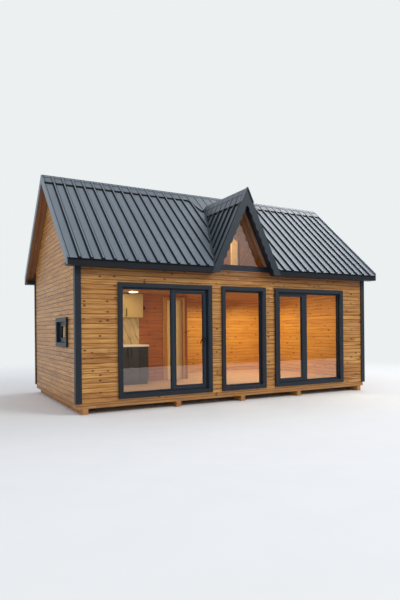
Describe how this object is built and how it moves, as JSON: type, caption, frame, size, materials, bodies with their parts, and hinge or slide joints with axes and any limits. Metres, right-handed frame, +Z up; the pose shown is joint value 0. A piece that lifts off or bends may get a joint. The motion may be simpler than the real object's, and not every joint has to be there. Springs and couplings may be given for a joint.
{
  "type": "timber cabin bungalow",
  "caption": "Small timber cabin on skids with a ribbed steel gable roof, a front dormer, full-height glazing and a glazed entry door that swings inwards.",
  "frame": {"origin": "on the ground, under the middle of the overall box", "axes": "+X along the front to the right, front wall faces -Y, +Z up"},
  "size_m": [7.38, 4.3856, 4.7513],
  "materials": {
    "skid_pine": "rough-sawn stained pine",
    "floor_boards": "satin oiled boards",
    "pine_siding": "stained knotty pine boards with dark joints",
    "anthracite_trim": "satin anthracite coating",
    "anthracite_frame": "foiled anthracite profile",
    "inner_boards": "varnished pine boards",
    "dark_wood": "dark stained timber",
    "cream_panel": "satin lacquered panel",
    "roof_boards": "brown stained boards",
    "roof_sheet": "slate grey coated steel",
    "window_glass": "clear double glazing",
    "handle_bronze": "dark bronze",
    "cabinet_grey": "matt dark grey fronts",
    "worktop_white": "pale polished worktop",
    "stone_splash": "pale veined slab",
    "lamp_white": "opal diffuser"
  },
  "bodies": {
    "house": {"skids": "skid_pine", "rim_long": "skid_pine", "rim_ends": "skid_pine", "floor_deck": "floor_boards", "front_wall_left": "pine_siding", "front_wall_piers": "pine_siding", "front_wall_right": "pine_siding", "front_wall_header": "pine_siding", "front_wall_sill": "pine_siding", "back_wall": "pine_siding", "left_gable_wall": "pine_siding", "right_gable_wall": "pine_siding", "corner_trims": "anthracite_trim", "partition_wall": "inner_boards", "inner_posts": "dark_wood", "doorway_trim": "inner_boards", "doorway_panel": "cream_panel", "loft_panel": "inner_boards", "loft_floor": "inner_boards", "roof_deck_front": "roof_boards", "roof_deck_back": "roof_boards", "roof_sheet_front": "roof_sheet", "roof_sheet_back": "roof_sheet", "ridge_cap": "roof_sheet", "fascias": "anthracite_trim", "eave_soffits": "anthracite_trim", "gable_barges": "roof_sheet", "dormer_deck": "roof_boards", "dormer_sheets": "roof_sheet", "dormer_ridge_cap": "roof_sheet", "dormer_barges": "anthracite_trim", "valley_flashings": "roof_sheet", "dormer_sill": "anthracite_frame", "dormer_frame": "dark_wood", "dormer_glass": "window_glass", "window_casings": "anthracite_trim", "entry_frame": "anthracite_frame", "window_frames": "anthracite_frame", "window_glass": "window_glass", "base_cabinet": "cabinet_grey", "worktop": "worktop_white", "splashback": "stone_splash", "wall_cabinet": "cream_panel", "ceiling_light": "lamp_white"},
    "door_leaf": {"entry_door": "anthracite_frame", "entry_door_glass": "window_glass", "entry_door_handle": "handle_bronze"}
  },
  "joints": [
    {"name": "entry_door_hinge", "type": "hinge", "parent": "house", "child": "door_leaf", "pos_m": [-1.5785, -1.835, 1], "axis": [0, 0, 1], "range_deg": [0, 90]}
  ]
}
